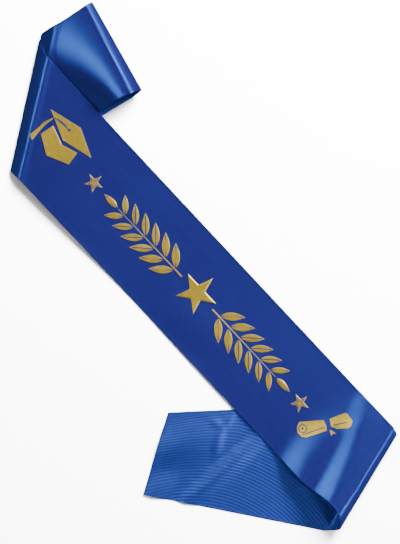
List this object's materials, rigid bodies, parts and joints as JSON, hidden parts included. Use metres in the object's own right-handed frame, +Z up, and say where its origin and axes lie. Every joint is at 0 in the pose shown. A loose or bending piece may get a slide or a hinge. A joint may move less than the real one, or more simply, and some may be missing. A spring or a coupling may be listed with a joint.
{
  "type": "graduation sash",
  "caption": "Long satin graduation sash lying loosely folded on the floor: a printed panel between two soft rolls, a square-cut tail end and a short top layer, with raised gold foil figures.",
  "frame": {"origin": "on the floor, under the middle of the folded sash's outline", "axes": "+Z up from the floor; +Y and +X lie along the long and the short side of the outline, and the printed panel runs from the end at -X and +Y to the end at +X and -Y"},
  "size_m": [0.3548, 0.4854, 0.0236],
  "materials": {
    "satin": "glossy royal blue satin outside, duller ribbed wrong side",
    "foil": "thin metallic gold foil print"
  },
  "bodies": {
    "root": {"ribbon": "satin", "cap_board": "foil", "cap_crown": "foil", "cap_tassel": "foil", "scroll_left": "foil", "scroll_right": "foil", "scroll_bow": "foil", "star_middle": "foil", "laurel_left": "foil", "star_left": "foil", "laurel_right": "foil", "star_right": "foil"}
  },
  "joints": []
}
